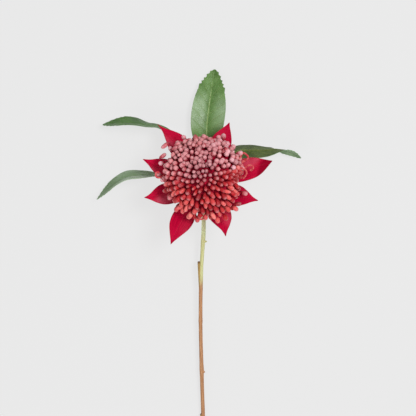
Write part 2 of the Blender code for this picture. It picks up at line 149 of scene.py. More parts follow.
# Styles of opened florets: points from the middle of the core, from the foot to the tip (mm).
STYLES = [
    [(41, 16, 2), (46, 23, 9), (49, 27, 11), (53, 25, 11), (55, 22, 9), (52, 20, 6), (48, 18, 4)],
    [(40, 8, -2), (49, 10, 0), (53, 13, 3), (56, 14, 4), (60, 13, 4), (61, 11, 1), (58, 10, -2)],
    [(36, 12, 5), (40, 12, 9), (44, 9, 12), (49, 7, 12), (53, 4, 9), (52, 1, 5), (49, -1, 1)],
    [(-38, 4, 0), (-45, 2, 2), (-49, -2, 6), (-54, -2, 8), (-55, 1, 9), (-53, 4, 9), (-51, 3, 8)],
    [(-3, -36, 4), (-2, -42, 4), (-3, -49, 1), (-1, -52, -1), (2, -50, -1), (2, -47, 0)],
]
STYLE_RADIUS = 1.15 * MM
STYLE_TIP_RADIUS = 1.6 * MM
# One bud: height and radius of its rings (mm), its foot inside the core and its tip at the top.
BUD_HEIGHT = 30 * MM
BUD_SIDES = 8
BUD_RINGS = [(0, 0.8), (10, 0.75), (20.6, 0.95), (22.0, 1.75), (23.8, 2.6), (25.6, 3.0), (27.4, 2.75),
             (28.8, 2.0), (29.7, 1.0)]
BUD_FULL_RADIUS = 3 * MM
BUD_LOBE_SHARE = 0.93

# Uneven outline of the head from above: azimuth (degrees) and share of the full reach there.
HEAD_OUTLINE = [(-180, 0.86), (-160, 0.91), (-135, 0.92), (-110, 1.0), (-60, 1.03), (-35, 0.97),
                (-14, 0.83), (0, 0.86), (16, 0.98), (45, 0.87), (62, 0.9), (78, 0.83), (106, 0.82),
                (125, 0.9), (150, 0.76), (180, 0.86)]
# Bed of stalks under the buds: its share of their reach, and the angle where it starts to draw in.
BED_SHARE = 0.8
BED_EDGE = math.radians(92)
BED_SIDES = 60
BED_RIBS = 46
BED_RELIEF = 1.6 * MM
# Where coral turns to pink, seen from above the core: the level there, its rise and the soft width.
PINK_LEVEL = -5 * MM
PINK_RISE = 0.5
PINK_WIDTH = 13 * MM
CROWN_LEVEL = 12 * MM
CROWN_SPREAD = 24 * MM

# Bracts, close to the solids. An outline gives the share of the full width at each share of the length.
BRACT_START = NECK_RADIUS + 0.3 * MM
BRACT_HALF_WIDTH = 13.5 * MM
BRACT_FOLD_START = 1.6
TIER_RISE = 1.9 * MM
BRACT_LEVEL = 5.2 * MM
BLUNT_OUTLINE = [(0, 0.3), (0.1, 0.44), (0.22, 0.66), (0.4, 0.92), (0.55, 1), (0.7, 0.92), (0.8, 0.72),
                 (0.88, 0.45), (0.94, 0.23), (1, 0.01)]
FULL_OUTLINE = [(0, 0.3), (0.1, 0.44), (0.22, 0.66), (0.4, 0.9), (0.55, 1), (0.7, 0.88), (0.84, 0.5),
                (0.94, 0.17), (1, 0.01)]
POINTED_OUTLINE = [(0, 0.3), (0.1, 0.44), (0.22, 0.66), (0.4, 0.92), (0.53, 1), (0.66, 0.9), (0.78, 0.6),
                   (0.87, 0.3), (0.94, 0.13), (1, 0.01)]
BRACT_ARCH = [(0, 0, 0), (0.14, -1.0, 0), (0.34, -2.6, 0), (0.55, -1.6, 0.15), (0.78, 2.4, 0.55)]
# Outline, azimuth (degrees), reach, height of the tip and its sweep to the side (mm), twist (degrees), fold.
BRACTS = [
    (BLUNT_OUTLINE, 20, 88, 12, -5.2, 35, 0.25),
    (FULL_OUTLINE, 63.5, 82, 10, 4, -10, 0.15),
    (POINTED_OUTLINE, 115.5, 89, 10, 17.3, 40, 0.35),
    (POINTED_OUTLINE, 162, 76, 12, -4, 15, 0.2),
    (POINTED_OUTLINE, 198.5, 72, 12, -1.6, -10, 0.15),
    (FULL_OUTLINE, 242.5, 87, 9, 3.4, 10, 0.1),
    (POINTED_OUTLINE, 305, 72.5, 9, -16.2, -15, 0.15),
    (POINTED_OUTLINE, 334, 71, 12, 6.9, 10, 0.2),
]
# Strength of each bract's painted sheen, a pale highlight, and of the painted shadow on the slope behind it.
BRACT_PAINTED_LIGHT = [1, 0.05, 0.7, 0.4, 0.85, 0.2, 0.3, 0.05]
BRACT_ROWS = 44
BRACT_COLUMNS = 16
BRACT_THICKNESS = 0.6 * MM

# Leaves, close to the solids.
LEAF_HALF_WIDTH = 21 * MM
BROAD_OUTLINE = [(0, 0.075), (0.1, 0.085), (0.2, 0.22), (0.32, 0.56), (0.434, 0.83), (0.53, 0.96),
                 (0.66, 0.99), (0.76, 0.9), (0.823, 0.76), (0.884, 0.58), (0.925, 0.42), (0.96, 0.28),
                 (0.985, 0.13), (1, 0.01)]
LONG_OUTLINE = [(0, 0.075), (0.15, 0.09), (0.3, 0.22), (0.42, 0.45), (0.52, 0.7), (0.62, 0.92), (0.7, 1),
                (0.79, 0.92), (0.86, 0.72), (0.92, 0.47), (0.96, 0.28), (0.985, 0.12), (1, 0.01)]
EARLY_OUTLINE = [(0, 0.075), (0.12, 0.1), (0.2, 0.32), (0.3, 0.72), (0.4, 0.94), (0.5, 1), (0.6, 0.96),
                 (0.7, 0.82), (0.79, 0.62), (0.86, 0.48), (0.92, 0.34), (0.97, 0.17), (1, 0.01)]
# Outline, fold, depth of the teeth (mm), and points of the middle line (mm) with the tilt there (degrees).
LEAVES = {
    "leaf_top": (BROAD_OUTLINE, 0.16, 3.0, [
        (4.05, 96.55, 36.3, 0), (5.3, 109, 29.0, 0), (7.1, 127, 20, 0), (8.8, 153.5, 12.5, 3),
        (9.8, 174.3, 9.5, 5), (11.9, 191.6, 8, 6), (14.5, 210.6, 6.2, 4), (19.3, 238.9, 2.8, 0)]),
    "leaf_upper_left": (LONG_OUTLINE, 0.10, 3.0, [
        (-0.05, 89.2, 33.0, 50), (-4.0, 92.3, 31.6, 56), (-8, 106, 27.9, 68), (-19, 136, 21, 80),
        (-34.5, 158.2, 18.5, 82), (-50.4, 167, 18.3, 82), (-62.6, 168.6, 20.0, 79),
        (-77.2, 171.8, 21.8, 73), (-91.8, 172.9, 20.9, 70), (-104.2, 172.4, 17.2, 69),
        (-118.2, 170.6, 12, 68)]),
    "leaf_left": (LONG_OUTLINE, 0.10, 4.4, [
        (1.4, 81.0, 25.4, 50), (-3.2, 83.6, 25.0, 56), (-14.6, 95, 24, 68), (-33.1, 105.8, 22.2, 75),
        (-51.5, 107.9, 21.5, 77), (-72.2, 108.0, 21.2, 74), (-87.6, 106.6, 21, 72), (-99.0, 100.6, 20.5, 73),
        (-110.8, 91.4, 19, 75.5), (-125.1, 79.0, 17, 77)]),
    "leaf_right": (EARLY_OUTLINE, 0.10, 1.6, [
        (8.75, 85.7, 29.1, 130), (12.6, 88.9, 28.4, 124), (18, 104, 26.6, 116), (29, 124.4, 24.4, 113),
        (45.0, 136.9, 23.0, 118), (62.1, 138.5, 22.6, 118), (80.4, 138.7, 22.0, 111),
        (90.0, 139.9, 21.0, 106), (98.0, 139.6, 20.0, 94), (105.5, 138.5, 18.4, 78),
        (114.0, 135.6, 16.4, 69), (124.7, 129.5, 14, 64)]),
}
LEAF_PLAIN_ROWS = 56
LEAF_TIP_ROWS = 60
LEAF_COLUMNS = 20
TOOTH_START = 0.8
LEAF_TEETH = [0.86, 0.888, 0.917, 0.952, 0.983]
TOOTH_DIP = 0.25
TOOTH_FALL = 0.004
PETIOLE_THICKNESS = 2.4 * MM
EDGE_SHARE = 0.2
SIDE_VEINS = 13
VEIN_SLANT = 0.13
VEIN_CURVE = 0.8
VEIN_DEPTH = 0.2 * MM

# Colours of each leaf's upper face, darkest and lightest, then of its veins, with the share of the veins
# and of the painted glare, a pale highlight, on one half of the blade and on the other.
LEAF_TONES = {
    "leaf_top": ((76, 112, 52), (104, 142, 78), (158, 184, 116), 0.6, (0.5, 0.4)),
    # The upper-left leaf has darker tones as painted shade.
    "leaf_upper_left": ((48, 92, 22), (78, 126, 44), (112, 146, 70), 0.5, (0, 0)),
    "leaf_left": ((102, 138, 84), (136, 168, 122), (156, 182, 140), 0.55, (0.8, 0.2)),
    "leaf_right": ((98, 134, 84), (138, 168, 124), (168, 192, 150), 0.5, (0.2, 0.1)),
}
LEAF_UNDER_TONES = ((58, 78, 28), (84, 104, 46), (142, 154, 72), 0.8, (0, 0))

# Stem: points of its middle with the radius there (mm), from the cut end to where it bends up.
STEM_ROUTE = [
    (5.4, -238.4, 2.57, 2.7), (5.2, -212, 4.4, 2.5), (4.9, -200, 5.1, 2.9), (4.7, -187, 5.8, 2.4),
    (3.4, -145, 8.3, 2.3), (3.2, -136, 8.8, 2.5), (3.1, -130, 9.1, 2.7), (2.8, -123, 9.5, 2.4),
    (2.2, -100, 10.8, 2.3), (1.7, -74, 12.4, 2.3), (1.7, -70, 12.6, 2.55), (1.7, -66, 12.8, 2.3),
    (1.8, -40, 14.3, 2.3), (2.2, -22, 15.3, 2.4), (2.8, -2, 16.5, 2.3), (3.9, 14, 17.5, 2.35),
    (4.7, 28, 18.4, 2.65), (5.4, 40, 19.2, 2.7),
]
STEM_BEND_RADIUS = 38 * MM
STEM_BEND_START = math.radians(4)
STEM_BEND_STEPS = 9
STEM_TOP_LENGTH = 3 * MM
STEM_TOP_RADIUS = 5.4 * MM
STEM_NECK_RADIUS = 4.2 * MM
STEM_RADIUS = 2.6 * MM
# Stubs of side shoots and scars: root and tip (mm), radius at both (mm), and 1 for a brown one.
STUBS = [
    ((1.2, -32, 14.6), (-0.5, 3.2, 18.0), 1.5, 1.6, 1),
    ((3.2, -204, 4.9), (2.1, -184, 8.0), 1.6, 1.1, 1),
    ((4.4, 27.2, 18.4), (9.4, 27.6, 19.8), 1.6, 1.1, 0),
    ((3.5, -131, 9.1), (7.0, -133.4, 10.0), 1.5, 1.0, 0),
]

# Studio: tone and glow of the floor, strength of the sky, and the lamps: name, place, size and power.
FLOOR_TONE = 0.1
FLOOR_GLOW = 0.71
SKY_STRENGTH = 0.39
LAMPS = [("key", (0.75, 0.35, 2.0), 0.7, 30), ("fill", (-0.9, -1.1, 1.4), 1.2, 9)]
LAMP_AIM = Vector((0, 0.08, 0.04))


# Working with Blender

def choose(*objects):
    """Select these objects alone, with the first one active."""
    bpy.ops.object.select_all(action="DESELECT")
    for made in objects:
        made.select_set(True)
    bpy.context.view_layer.objects.active = objects[0]


def bring_in(name, data):
    """Bring a new object into the scene."""
    made = bpy.data.objects.new(name, data)
    bpy.context.scene.collection.objects.link(made)
    return made


def edit_all(made):
    """Open a piece in edit mode with all of it selected."""
    choose(made)
    bpy.ops.object.mode_set(mode="EDIT")
    bpy.ops.mesh.select_mode(type="VERT")
    bpy.ops.mesh.select_all(action="SELECT")


def pick(test):
    """In edit mode, select the vertices that pass a test."""
    mesh = bpy.context.edit_object.data
    body = bmesh.from_edit_mesh(mesh)
    for vertex in body.verts:
        vertex.select = test(vertex)
    body.select_flush_mode()
    bmesh.update_edit_mesh(mesh)


def leave_edit():
    """Go back to object mode."""
    bpy.ops.object.mode_set(mode="OBJECT")


def apply_modifier(made, kind, **settings):
    """Add a modifier with these settings and apply it."""
    modifier = made.modifiers.new(kind.lower(), kind)
    for name, value in settings.items():
        setattr(modifier, name, value)
    choose(made)
    bpy.ops.object.modifier_apply(modifier=modifier.name)


def smooth_shade(made, degrees=40):
    """Shade a piece smooth, with its sharp edges kept."""
    choose(made)
    bpy.ops.object.shade_smooth_by_angle(angle=math.radians(degrees))


def smooth_value(points, place):
    """Read a smooth curve through (place, value) points."""
    for index in range(len(points) - 1):
        start, end = points[index], points[index + 1]
        if place <= end[0]:
            break
    before = points[max(index - 1, 0)]
    after = points[min(index + 2, len(points) - 1)]
    span = end[0] - start[0]
    slope_in = (end[1] - before[1]) / (end[0] - before[0]) * span
    slope_out = (after[1] - start[1]) / (after[0] - start[0]) * span
    t = (place - start[0]) / span
    return ((2 * t**3 - 3 * t**2 + 1) * start[1] + (t**3 - 2 * t**2 + t) * slope_in
            + (3 * t**2 - 2 * t**3) * end[1] + (t**3 - t**2) * slope_out)


def clamp(value):
    """Keep a value between 0 and 1."""
    return min(max(value, 0.0), 1.0)


def guide_curve(name, points, twist_mode="Z_UP", stretch=True):
    """Make a smooth curve through points of (place, tilt, radius) to bend a piece along."""
    curve = bpy.data.curves.new(name, "CURVE")
    curve.dimensions = "3D"
    curve.twist_mode = twist_mode
    curve.resolution_u = 16
    curve.use_stretch = stretch
    curve.use_deform_bounds = stretch
    spline = curve.splines.new("BEZIER")
    spline.bezier_points.add(len(points) - 1)
    for point, (place, tilt, radius) in zip(spline.bezier_points, points):
        point.co = place
        point.tilt = tilt
        point.radius = radius
        point.handle_left_type = "AUTO"
        point.handle_right_type = "AUTO"
    return bring_in(name, curve)


def remove(*objects):
    """Delete helper objects."""
    for made in objects:
        bpy.data.objects.remove(made)


def bend_along(made, points):
    """Bend a piece that lies along X to a smooth curve through points of (place, tilt, radius)."""
    guide = guide_curve("guide", points)
    apply_modifier(made, "CURVE", object=guide, deform_axis="POS_X")
    remove(guide)


def join(name, *objects):
    """Join meshes into one piece."""
    choose(*objects)
    bpy.ops.object.join()
    made = bpy.context.object
    made.name = name
    return made


def cover(made, *finishes):
    """Give a piece these finishes alone."""
    made.data.materials.clear()
    for finish in finishes:
        made.data.materials.append(finish)


def mark(made, name, value):
    """Let every vertex of a piece carry the same number."""
    layer = made.data.attributes.new(name, "FLOAT", "POINT")
    layer.data.foreach_set("value", [value] * len(made.data.vertices))


def stack_rings(name, rings, sides):
    """Model a round piece from its foot up by extruding a circle through (height, radius) rings."""
    height, radius = rings[0]
    bpy.ops.mesh.primitive_circle_add(vertices=sides, radius=radius, fill_type="NGON")
    made = bpy.context.object
    made.name = name
    edit_all(made)
    bpy.ops.transform.translate(value=(0, 0, height))
    for next_height, next_radius in rings[1:]:
        bpy.ops.mesh.extrude_region_move(TRANSFORM_OT_translate={"value": (0, 0, next_height - height)})
        share = next_radius / radius
        bpy.ops.transform.resize(value=(share, share, 1), center_override=(0, 0, next_height))
        height, radius = next_height, next_radius
    leave_edit()
    return made


# Shader nodes

def paint(red, green, blue):
    """Colour for a shader from screen values of 0 to 255."""
    def linear(value):
        share = value / 255
        return share / 12.92 if share <= 0.04045 else ((share + 0.055) / 1.055)**2.4
    return (linear(red), linear(green), linear(blue), 1)


def new_finish(name, roughness, **sockets):
    """Make a material, and return it with its node tree and shader."""
    material = bpy.data.materials.new(name)
    material.use_nodes = True
    tree = material.node_tree
    shader = tree.nodes["Principled BSDF"]
    shader.inputs["Roughness"].default_value = roughness
    for socket, value in sockets.items():
        shader.inputs[socket.replace("_", " ")].default_value = value
    return material, tree, shader


def give(tree, socket, value):
    """Link a socket to another one, or set its value."""
    if isinstance(value, bpy.types.NodeSocket):
        tree.links.new(value, socket)
    else:
        socket.default_value = value


def calc(tree, operation, *values):
    """Add a maths node."""
    node = tree.nodes.new("ShaderNodeMath")
    node.operation = operation
    for socket, value in zip(node.inputs, values):
        give(tree, socket, value)
    return node.outputs[0]


def times(tree, first, *others):
    """Multiply values."""
    for value in others:
        first = calc(tree, "MULTIPLY", first, value)
    return first


def mix(tree, share, first, second):
    """Blend two colours by a share."""
    node = tree.nodes.new("ShaderNodeMix")
    node.data_type = "RGBA"
    give(tree, node.inputs["Factor"], share)
    give(tree, node.inputs[6], first)
    give(tree, node.inputs[7], second)
    return node.outputs[2]


def ease(tree, value, low, high, start=0.0, end=1.0):
    """Turn a value between low and high smoothly into one between start and end."""
    node = tree.nodes.new("ShaderNodeMapRange")
    node.interpolation_type = "SMOOTHSTEP"
    give(tree, node.inputs["Value"], value)
    node.inputs["From Min"].default_value = low
    node.inputs["From Max"].default_value = high
    node.inputs["To Min"].default_value = start
    node.inputs["To Max"].default_value = end
    return node.outputs["Result"]


def ramp(tree, share, stops):
    """Blend through screen colours at stops of (place, colour)."""
    node = tree.nodes.new("ShaderNodeValToRGB")
    stops_made = node.color_ramp.elements
    while len(stops_made) < len(stops):
        stops_made.new(0.5)
    for element, (place, colour) in zip(stops_made, stops):
        element.position = place
        element.color = paint(*colour)
    give(tree, node.inputs["Fac"], share)
    return node.outputs["Color"]


def place_on(tree, kind, scale=(1, 1, 1)):
    """Coordinates to lay a pattern on, scaled."""
    source = tree.nodes.new("ShaderNodeTexCoord")
    mapping = tree.nodes.new("ShaderNodeMapping")
    mapping.inputs["Scale"].default_value = scale
    tree.links.new(source.outputs[kind], mapping.inputs["Vector"])
    return mapping.outputs["Vector"]


def blade_places(tree):
    """How far along a blade, how far across it, and how far out from its midrib, each as a share."""
    parts = tree.nodes.new("ShaderNodeSeparateXYZ")
    tree.links.new(place_on(tree, "UV"), parts.inputs[0])
    far, across = parts.outputs[0], parts.outputs[1]
    return far, across, times(tree, calc(tree, "ABSOLUTE", calc(tree, "SUBTRACT", across, 0.5)), 2)


def attribute(tree, name):
    """Read a number that the mesh carries."""
    node = tree.nodes.new("ShaderNodeAttribute")
    node.attribute_name = name
    return node.outputs["Fac"]


def pattern(tree, kind, texture, scale):
    """Add a texture on these coordinates, at one scale or at one for each way."""
    node = tree.nodes.new(texture)
    each_way = isinstance(scale, tuple)
    give(tree, node.inputs["Vector"], place_on(tree, kind, scale if each_way else (1, 1, 1)))
    node.inputs["Scale"].default_value = 1 if each_way else scale
    return node


def cloud(tree, kind, scale, detail):
    """Add a noise pattern."""
    node = pattern(tree, kind, "ShaderNodeTexNoise", scale)
    node.inputs["Detail"].default_value = detail
    return node.outputs["Fac"]


def cells(tree, kind, scale):
    """Add the edges of a cell pattern."""
    node = pattern(tree, kind, "ShaderNodeTexVoronoi", scale)
    node.feature = "DISTANCE_TO_EDGE"
    return node.outputs["Distance"]


def coat(tree, shader, colour, layers):
    """Give a shader its colour, and raise it by layers of (height, distance), one on the other."""
    tree.links.new(colour, shader.inputs["Base Color"])
    normal = None
    for height, distance in layers:
        node = tree.nodes.new("ShaderNodeBump")
        give(tree, node.inputs["Height"], height)
        node.inputs["Distance"].default_value = distance
        if normal:
            tree.links.new(normal, node.inputs["Normal"])
        normal = node.outputs["Normal"]
    tree.links.new(normal, shader.inputs["Normal"])


# Finishes

def bud_finish():
    """Florets: coral on one side, dusty pink on the other and mauve at the crown, with pale frosted ends
    that are partly painted highlights.
    """
    material, tree, shader = new_finish("floret_petals", 0.36, Specular_IOR_Level=0.2)
    names = ("along", "tone", "grey", "shade", "frost_and_highlight", "pale_and_highlight", "lobe")
    along, tone, grey, shade, frost_and_highlight, pale_and_highlight, lobe = [attribute(tree, name) for name in names]
    coral = ramp(tree, shade, [(0, (142, 0, 18)), (0.45, (194, 26, 36)), (0.8, (242, 104, 100)),
                               (1, (255, 134, 126))])
    pink = ramp(tree, shade, [(0, (148, 24, 42)), (0.5, (180, 54, 66)), (1, (210, 98, 106))])
    mauve = ramp(tree, shade, [(0, (142, 68, 80)), (1, (174, 102, 110))])
    colour = mix(tree, tone, coral, pink)
    colour = mix(tree, grey, colour, mauve)
    speckle = cloud(tree, "Object", 900, 2)
    mottle = cloud(tree, "Object", 520, 2)
    colour = mix(tree, ease(tree, speckle, 0.4, 0.75, 0, 0.08), colour, paint(240, 160, 156))
    dusty = times(tree, ease(tree, mottle, 0.48, 0.66), calc(tree, "ADD", times(tree, tone, 0.26), 0.04))
    colour = mix(tree, dusty, colour, paint(240, 186, 186))
    # Pale tint at the bud ends: partly the floret's own whitish bloom, partly a painted highlight, most on
    # the right of the upper side.
    pale_tint_and_highlight = times(tree, ease(tree, along, 0.72, 0.95), pale_and_highlight)
    colour = mix(tree, pale_tint_and_highlight, colour, paint(240, 188, 198))
    # Pale frosted tip at the centre of each bud end, partly a painted highlight.
    end = times(tree, ease(tree, along, 0.9, 1.0), frost_and_highlight)
    colour = mix(tree, end, colour, paint(240, 178, 180))
    stalk = mix(tree, tone, paint(128, 2, 26), paint(140, 20, 44))
    colour = mix(tree, ease(tree, along, 0.68, 0.84, 1, 0), colour, stalk)
    coat(tree, shader, colour, [(lobe, 0.25 * MM), (speckle, 0.06 * MM)])
    return material


def style_finish():
    """Styles of opened florets: coral red with a soft pink grain."""
    material, tree, shader = new_finish("style_coral", 0.4, Specular_IOR_Level=0.2)
    grain = cloud(tree, "Object", 300, 3)
    colour = mix(tree, ease(tree, grain, 0.35, 0.65), paint(196, 46, 60), paint(226, 112, 110))
    coat(tree, shader, colour, [(grain, 0.2 * MM)])
    return material


def core_finish():
    """Core of the head: deep crimson with a fine grain."""
    material, tree, shader = new_finish("core_crimson", 0.7, Specular_IOR_Level=0.05)
    grain = cloud(tree, "Object", 260, 4)
    colour = mix(tree, ease(tree, grain, 0.35, 0.65), paint(120, 2, 26), paint(176, 18, 50))
    coat(tree, shader, colour, [(grain, 0.6 * MM)])
    return material


def bract_finish():
    """Bracts: crimson with fine lengthwise veins, a painted pale sheen with a painted shadow band behind it,
    and a darker tip.
    """
    material, tree, shader = new_finish("bract_crimson", 0.5, Specular_IOR_Level=0.04)
    far, across, side = blade_places(tree)
    streaks = cloud(tree, "UV", (2.5, 46, 1), 3)
    veins = cloud(tree, "UV", (1.2, 130, 1), 2)
    blotches = cloud(tree, "Object", 45, 3)
    colour = mix(tree, ease(tree, streaks, 0.3, 0.7), paint(174, 1, 46), paint(208, 14, 62))
    colour = mix(tree, ease(tree, blotches, 0.4, 0.75, 0, 0.4), colour, paint(216, 34, 74))
    painted_light = attribute(tree, "painted_light")
    slanted = calc(tree, "SUBTRACT", far, times(tree, across, 0.2))
    # Painted sheen: a pale highlight on one side of the blade, which also lightens bracts that lie in the
    # head's shade.
    painted_sheen = times(tree, ease(tree, across, 0.35, 0.8), ease(tree, far, 0.3, 0.55),
                 ease(tree, slanted, 0.58, 0.7, 1, 0), ease(tree, blotches, 0.35, 0.6, 0.4, 1), painted_light, 0.75)
    colour = mix(tree, painted_sheen, colour, paint(236, 104, 128))
    # Painted shadow band on the slope behind the sheen.
    shadow = times(tree, ease(tree, slanted, 0.66, 0.74), ease(tree, painted_light, 0.85, 1))
    colour = mix(tree, shadow, colour, paint(152, 0, 38))
    # Paler line along the middle: the bract's own midrib colour, partly a painted sheen along its centre.
    midrib = ease(tree, side, 0.0, 0.07, 1, 0)
    colour = mix(tree, times(tree, midrib, 0.35), colour, paint(222, 60, 86))
    colour = mix(tree, ease(tree, side, 0.86, 1.0, 0, 0.4), colour, paint(150, 0, 36))
    colour = mix(tree, ease(tree, far, 0.9, 1.0, 0, 0.5), colour, paint(140, 2, 34))
    tree.links.new(ease(tree, streaks, 0.2, 0.8, 0.44, 0.56), shader.inputs["Roughness"])
    coat(tree, shader, colour, [(veins, 0.25 * MM), (midrib, -0.3 * MM)])
    return material


def leaf_finish(name, tones, roughness, raised):
    """One face of a leaf: blade with a midrib, side veins, a fine net between them and a painted glare, a
    pale highlight on part of the blade.
    """
    blade_dark, blade_light, vein, vein_share, painted_glare_shares = tones
    material, tree, shader = new_finish(name, roughness, Specular_IOR_Level=0.2)
    far, across, side = blade_places(tree)
    midrib = times(tree, ease(tree, side, 0.015, 0.05, 1, 0), ease(tree, far, 0.7, 0.95, 1, 0.3))
    wobble = cloud(tree, "UV", (9, 3, 1), 2)
    slant = times(tree, calc(tree, "POWER", side, VEIN_CURVE), VEIN_SLANT)
    turn = calc(tree, "ADD", calc(tree, "SUBTRACT", far, slant), times(tree, wobble, 0.02))
    wave = calc(tree, "PINGPONG", times(tree, turn, SIDE_VEINS), 0.5)
    side_vein = times(tree, ease(tree, wave, 0.0, 0.075, 1, 0), ease(tree, side, 0.75, 1.0, 1, 0.2))
    net = ease(tree, cells(tree, "UV", (68, 19, 1)), 0.0, 0.12, 1, 0)
    blotches = cloud(tree, "Object", 60, 3)
    grain = cloud(tree, "Object", 900, 2)
    colour = mix(tree, ease(tree, blotches, 0.3, 0.7), paint(*blade_dark), paint(*blade_light))
    vein = paint(*vein)
    haze = cloud(tree, "UV", (4, 3, 1), 3)
    # Painted glare: a pale tint standing in for the highlight on one half of the blade, broken up by a haze
    # pattern.
    one_half = ease(tree, across, 0.5, 0.7, 0, painted_glare_shares[0])
    other_half = ease(tree, across, 0.1, 0.45, painted_glare_shares[1], 0)
    pale_tint_and_highlight = times(tree, ease(tree, far, 0.44, 0.6), ease(tree, far, 0.66, 0.84, 1, 0),
                  ease(tree, haze, 0.3, 0.6, 0.5, 1), calc(tree, "ADD", one_half, other_half))
    colour = mix(tree, pale_tint_and_highlight, colour, paint(190, 210, 184))
    colour = mix(tree, times(tree, net, 0.16), colour, vein)
    colour = mix(tree, times(tree, side_vein, vein_share * 0.6), colour, vein)
    colour = mix(tree, times(tree, midrib, vein_share), colour, vein)
    colour = mix(tree, ease(tree, far, 0.0, 0.16, 0.6, 0), colour, vein)
    dullness = ease(tree, grain, 0.2, 0.8, roughness - 0.06, roughness + 0.08)
    tree.links.new(dullness, shader.inputs["Roughness"])
    layers = [(net, raised * 0.12 * MM), (side_vein, raised * 0.35 * MM), (grain, 0.04 * MM)]
    coat(tree, shader, colour, layers)
    return material


def stem_finish():
    """Stem: yellow-green under the flower, painted paler just below the head as painted light, turning to
    brown bark with streaks and pores.
    """
    material, tree, shader = new_finish("stem_bark", 0.6)
    place = place_on(tree, "Object")
    parts = tree.nodes.new("ShaderNodeSeparateXYZ")
    tree.links.new(place, parts.inputs[0])
    streaks = cloud(tree, "Object", (900, 60, 900), 3)
    patches = cloud(tree, "Object", (120, 30, 120), 3)
    pores = cells(tree, "Object", (420, 150, 420))
    along = parts.outputs[1]
    share = ease(tree, calc(tree, "ADD", along, times(tree, patches, 14 * MM)), -26 * MM, -5 * MM)
    shoot = attribute(tree, "shoot")
    bark = mix(tree, ease(tree, streaks, 0.3, 0.7), paint(164, 113, 72), paint(200, 148, 104))
    bark = mix(tree, ease(tree, patches, 0.45, 0.8, 0, 0.6), bark, paint(176, 120, 78))
    green = mix(tree, ease(tree, streaks, 0.3, 0.7), paint(192, 192, 126), paint(210, 211, 154))
    # Painted light: a paler, greener tone just below the head that cancels the head's shadow and red bounce
    # light.
    green = mix(tree, ease(tree, along, 26 * MM, 46 * MM), green, paint(236, 255, 196))
    colour = mix(tree, share, bark, green)
    tan = mix(tree, ease(tree, streaks, 0.3, 0.7), paint(152, 122, 62), paint(182, 152, 88))
    colour = mix(tree, ease(tree, shoot, 0.45, 0.7), colour, tan)
    colour = mix(tree, ease(tree, shoot, 0.93, 1.0), colour, paint(104, 70, 36))
    pore = ease(tree, pores, 0.02, 0.1, 1, 0)
    pore_share = times(tree, pore, calc(tree, "SUBTRACT", 0.3, times(tree, share, 0.3)))
    colour = mix(tree, pore_share, colour, paint(150, 104, 68))
    coat(tree, shader, colour, [(streaks, 0.25 * MM), (pore, -0.12 * MM)])
    return material


# Flower head

def core_reach(angle):
    """Distance from the middle of the core to its skin at an angle from the crown."""
    return CORE_TOP + (CORE_SIDE - CORE_TOP) * math.sin(angle)**2


def tip_reach(angle):
    """Distance from the middle of the core to the bud tips at an angle from the crown."""
    return CROWN_REACH + (SIDE_REACH - CROWN_REACH) * math.sin(angle)**2


def bed_reach(angle):
    """Distance from the middle of the core to the top of the crowded stalks at an angle from the crown."""
    share = clamp((angle - BED_EDGE) / (CORE_EDGE - BED_EDGE))
    share = share**2 * (3 - 2 * share)
    return BED_SHARE * tip_reach(angle) * (1 - share) + core_reach(angle) * share


def drawn_in(tip):
    """A tip moved in or out sideways to the uneven outline of the head, most at the rim."""
    share = smooth_value(HEAD_OUTLINE, math.degrees(math.atan2(tip.y, tip.x)))
    scale = 1 + (share - 1) * (tip.angle(UP) / RIM_ANGLE)**2
    return Vector((tip.x * scale, tip.y * scale, tip.z))


def direction(angle, azimuth):
    """Unit vector at an angle from the crown and an azimuth round it."""
    out = math.sin(angle)
    return Vector((out * math.cos(azimuth), out * math.sin(azimuth), math.cos(angle)))


def spacing_at(angle):
    """Distance between neighbouring buds at an angle from the crown."""
    return CROWN_SPACING + (RIM_SPACING - CROWN_SPACING) * angle / RIM_ANGLE


def floret_places():
    """Angles of the florets: a golden-angle spiral, closest together at the crown."""
    places = []
    count = 0.0
    for index in range(SPIRAL_STEPS):
        angle = RIM_ANGLE * (index + 0.5) / SPIRAL_STEPS
        band = 2 * math.pi * math.sin(angle) * tip_reach(angle)**2 * RIM_ANGLE / SPIRAL_STEPS
        count += band / (math.sqrt(0.75) * spacing_at(angle)**2)
        while count >= len(places) + 0.5:
            places.append((angle, len(places) * GOLDEN_ANGLE))
    return places


def floret_tips():
    """Tip points from the middle of the core, loosened by a seeded draw and then eased apart."""
    draw = random.Random(SEED)
    tips = []
    for angle, azimuth in floret_places():
        reach = tip_reach(angle) + draw.uniform(REACH_LESS, REACH_MORE)
        shift = Vector((draw.uniform(-1, 1), draw.uniform(-1, 1), draw.uniform(-1, 1))) * JITTER
        tips.append(direction(angle, azimuth) * reach + shift)
    ease_apart(tips, EASE_ROUNDS, lambda tip: LEAST_SPACING * spacing_at(tip.angle(UP)))
    return tips


def ease_apart(tips, rounds, least_at):
    """Push points apart that are closer than the least distance there."""
    for ease_round in range(rounds):
        for first in range(len(tips)):
            for second in range(first + 1, len(tips)):
                apart = tips[first] - tips[second]
                least = least_at(tips[first])
                if apart.length < least:
                    push = apart.normalized() * (least - apart.length) / 2
                    tips[first] += push
                    tips[second] -= push


def bud_way(tip, share):
    """Direction that a bud points in: outwards, turned towards the incurve by a share."""
    outward = tip.normalized()
    turn = outward.rotation_difference(INCURVE_WAY)
    turn.angle *= share
    return turn @ outward


def incurve_share(tip):
    """How far the bud at this tip curves inwards: most on one side, less at the lowest rim."""
    share = between((-OUTCURVE_MOST, INCURVE_MOST), side_share(tip))
    low = clamp((LOW_RIM_START - tip.normalized().z) / LOW_RIM_SPAN)
    return share * (1 - LOW_RIM_LESS * low)


def seen_from_above(tip):
    """A tip's place from the middle of the core with the head in its tilt."""
    return Matrix.Rotation(-HEAD_TILT, 3, "X") @ tip


